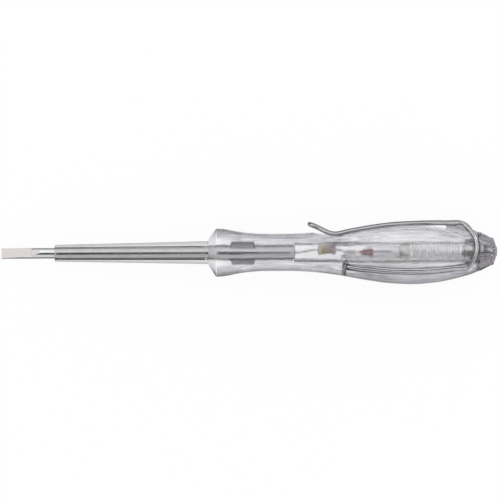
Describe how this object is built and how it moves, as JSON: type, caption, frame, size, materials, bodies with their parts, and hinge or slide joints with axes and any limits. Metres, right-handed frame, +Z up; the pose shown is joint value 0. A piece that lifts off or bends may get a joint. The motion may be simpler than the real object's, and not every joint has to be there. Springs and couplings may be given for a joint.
{
  "type": "voltage tester screwdriver",
  "caption": "Slim screwdriver with a clear waisted handle that holds a neon tester lamp, resistor and spring, a metal screw cap and a wire pocket clip.",
  "frame": {"origin": "centre of the flat end face at the blade's tip, on the blade's axis", "axes": "+X along the blade towards the end cap; +Y towards the side the clip is on, with the clip turned 4 degrees up from +Y; +Z up, square to both, the tool lying on its side"},
  "size_m": [0.1428, 0.0184, 0.0186],
  "materials": {
    "blade_steel": "bright, with ground flats",
    "sleeve_plastic": "clear, polished",
    "clear_plastic": "clear, polished",
    "spring_steel": "bright plated wire",
    "resistor_ceramic": "matt coated",
    "tinned_metal": "dull tinned",
    "brass": "turned",
    "red_glass": "fused glass bead",
    "lamp_glass": "clear",
    "nickel_wire": "drawn wire",
    "nickel": "satin plated"
  },
  "bodies": {
    "grip": {"blade": "blade_steel", "blade_sleeve": "sleeve_plastic", "handle": "clear_plastic", "resistor_front_lead": "tinned_metal", "resistor_front_cap": "tinned_metal", "resistor_body": "resistor_ceramic", "resistor_rear_cap": "tinned_metal", "resistor_rear_lead": "tinned_metal", "lead_ferrule": "brass", "lamp_electrode_front": "nickel_wire", "lamp_electrode_rear": "nickel_wire", "lamp_bead": "red_glass", "lamp_glass": "lamp_glass", "lamp_contact_cap": "brass", "contact_spring": "spring_steel", "clip_leg_left": "spring_steel", "clip_leg_right": "spring_steel"},
    "clip": {"clip_arm": "spring_steel"},
    "seat": {"spring_seat": "brass"},
    "cap": {"cap_stud": "brass", "end_cap": "nickel"}
  },
  "joints": [
    {"name": "clip_flex", "type": "hinge", "parent": "grip", "child": "clip", "pos_m": [0.1332, 0.00793, 0.00056], "axis": [0, 0.0698, -0.9976], "range_deg": [0, 6], "stiffness_Nm_per_rad": 1.2},
    {"name": "cap_travel", "type": "slide", "parent": "grip", "child": "seat", "axis": [1, 0, 0], "range_m": [0, 0.004], "deforming": ["contact_spring"]},
    {"name": "cap_turn", "type": "hinge", "parent": "seat", "child": "cap", "pos_m": [0.1379, 0, 0], "axis": [1, 0, 0], "range_deg": [0, 1801]}
  ],
  "couplings": [
    {"joint": "cap_turn", "follows": "cap_travel", "rad_per_m": 7854}
  ]
}
